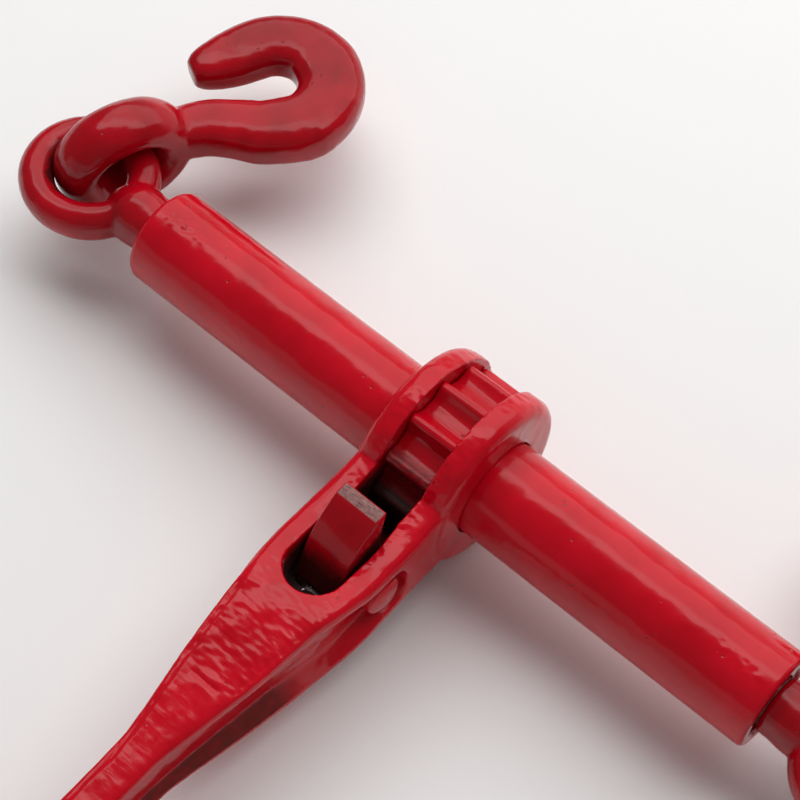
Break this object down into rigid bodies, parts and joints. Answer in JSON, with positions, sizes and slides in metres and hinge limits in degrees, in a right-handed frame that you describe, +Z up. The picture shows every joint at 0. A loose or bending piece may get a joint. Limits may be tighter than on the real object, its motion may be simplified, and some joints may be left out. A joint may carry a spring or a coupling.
{
  "type": "ratchet load binder",
  "caption": "Ratchet chain load binder: threaded barrel with toothed wheel, forged handle with reversing pawl, eye bolts and grab hooks.",
  "frame": {"origin": "bottom centre of the whole object's box, as it lies flat with the handle level", "axes": "+X along the barrel towards the left-hand threaded eye bolt, -Y along the handle, +Z up through the pawl slot"},
  "size_m": [0.3752, 0.4178, 0.0608],
  "materials": {
    "barrel_paint": "glossy red enamel",
    "gear_paint": "glossy red enamel with dark grease in the flutes",
    "handle_paint": "glossy red enamel over a forged surface",
    "fitting_paint": "glossy red enamel",
    "pawl_paint": "glossy dark red enamel, worn at the tips",
    "steel": "oiled steel",
    "spring_steel": "spring steel"
  },
  "bodies": {
    "barrel": {"barrel_tube": "barrel_paint", "ratchet_gear": "gear_paint", "left_end_nut": "steel", "right_end_nut": "steel"},
    "handle": {"handle": "handle_paint", "pawl_pin": "handle_paint", "plunger_spring": "spring_steel"},
    "pawl": {"pawl": "pawl_paint"},
    "plunger": {"plunger": "steel"},
    "left_stop": {"left_stop_washer": "steel"},
    "left_screw": {"left_eye_bolt": "fitting_paint", "left_stop_pin": "steel"},
    "left_hook": {"left_grab_hook": "fitting_paint"},
    "right_stop": {"right_stop_washer": "steel"},
    "right_screw": {"right_eye_bolt": "fitting_paint", "right_stop_pin": "steel"},
    "right_hook": {"right_grab_hook": "fitting_paint"}
  },
  "joints": [
    {"name": "handle_swing", "type": "hinge", "parent": "barrel", "child": "handle", "pos_m": [0, 0.10909, 0.0304], "axis": [1, 0, 0], "continuous": true},
    {"name": "pawl_flip", "type": "hinge", "parent": "handle", "child": "pawl", "pos_m": [0, 0.05809, 0.0304], "axis": [-1, 0, 0], "range_deg": [0, 42]},
    {"name": "plunger_push", "type": "slide", "parent": "handle", "child": "plunger", "axis": [0, -1, 0], "range_m": [0, 0.002], "stiffness_N_per_m": 1500, "springref_m": -0.004, "deforming": ["plunger_spring"]},
    {"name": "left_screw_slide", "type": "slide", "parent": "barrel", "child": "left_stop", "axis": [-1, 0, 0], "range_m": [0, 0.1016]},
    {"name": "left_screw_turn", "type": "hinge", "parent": "left_stop", "child": "left_screw", "pos_m": [-0.0084, 0.10909, 0.0304], "axis": [-1, 0, 0], "range_deg": [0, 5760]},
    {"name": "right_screw_slide", "type": "slide", "parent": "barrel", "child": "right_stop", "axis": [1, 0, 0], "range_m": [0, 0.1016]},
    {"name": "right_screw_turn", "type": "hinge", "parent": "right_stop", "child": "right_screw", "pos_m": [0.0084, 0.10909, 0.0304], "axis": [-1, 0, 0], "range_deg": [0, 5760]},
    {"name": "left_hook_swing", "type": "hinge", "parent": "left_screw", "child": "left_hook", "pos_m": [-0.1647, 0.10909, 0.0304], "axis": [0, 0, 1], "range_deg": [-8, 215]},
    {"name": "right_hook_swing", "type": "hinge", "parent": "right_screw", "child": "right_hook", "pos_m": [0.1647, 0.10909, 0.0304], "axis": [0, 0, -1], "range_deg": [-8, 215]}
  ],
  "couplings": [
    {"joint": "left_screw_slide", "follows": "left_screw_turn", "m_per_rad": 0.0010106},
    {"joint": "right_screw_slide", "follows": "left_screw_turn", "m_per_rad": 0.0010106},
    {"joint": "right_screw_turn", "follows": "left_screw_turn", "ratio": 1}
  ]
}
